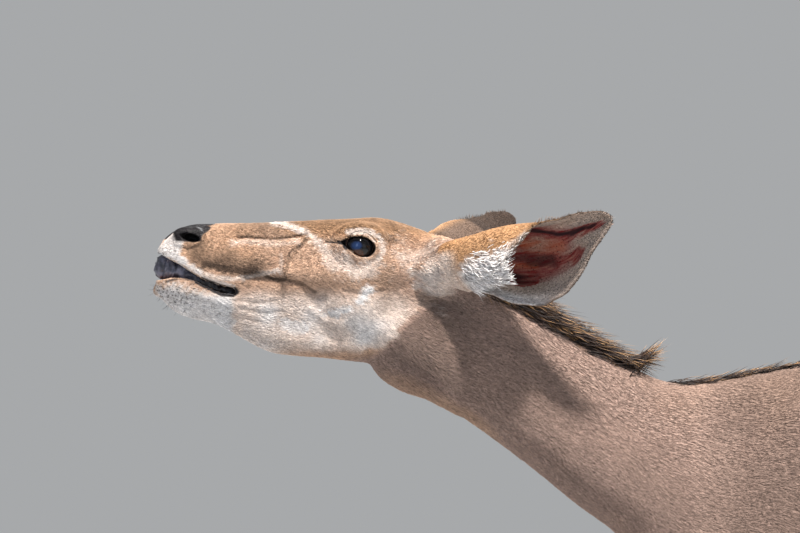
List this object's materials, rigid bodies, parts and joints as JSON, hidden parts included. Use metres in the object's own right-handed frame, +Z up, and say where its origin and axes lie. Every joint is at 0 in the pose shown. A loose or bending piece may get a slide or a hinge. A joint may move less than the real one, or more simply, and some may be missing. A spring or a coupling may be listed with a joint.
{
  "type": "greater kudu cow",
  "caption": "Life-size standing antelope cow without horns, neck stretched forward and muzzle level, large cupped ears and a short nape mane.",
  "frame": {"origin": "on the floor, under the middle of the box around the animal", "axes": "+Z up; the animal faces -X; its left side is towards -Y"},
  "size_m": [1.7751, 0.4452, 1.3834],
  "materials": {
    "coat": "short matt hair, grey-brown with thin white stripes",
    "neck_coat": "short matt grey-brown hair with a dark brown mane",
    "head_coat": "very short hair, tan with white marks and a black nose",
    "ear_coat": "short tan hair outside, thin pinkish skin with white hair inside",
    "leg_coat": "short tawny hair",
    "tail_hair": "long hair, tan with a white underside and a black tip",
    "eye": "wet, very dark brown",
    "tongue": "moist dark grey-purple skin",
    "hoof": "worn black horn"
  },
  "bodies": {
    "root": {"torso": "coat", "neck": "neck_coat", "head": "head_coat", "tongue": "tongue", "ear_left": "ear_coat", "ear_right": "ear_coat", "eye_left": "eye", "eye_right": "eye", "tail": "tail_hair", "foreleg_left_upper": "coat", "foreleg_left_lower": "leg_coat", "foreleg_right_upper": "coat", "foreleg_right_lower": "leg_coat", "hindleg_left_upper": "coat", "hindleg_left_lower": "leg_coat", "hindleg_right_upper": "coat", "hindleg_right_lower": "leg_coat", "hoof_fore_left_outer": "hoof", "hoof_fore_left_inner": "hoof", "hoof_fore_right_outer": "hoof", "hoof_fore_right_inner": "hoof", "hoof_hind_left_outer": "hoof", "hoof_hind_left_inner": "hoof", "hoof_hind_right_outer": "hoof", "hoof_hind_right_inner": "hoof"}
  },
  "joints": []
}
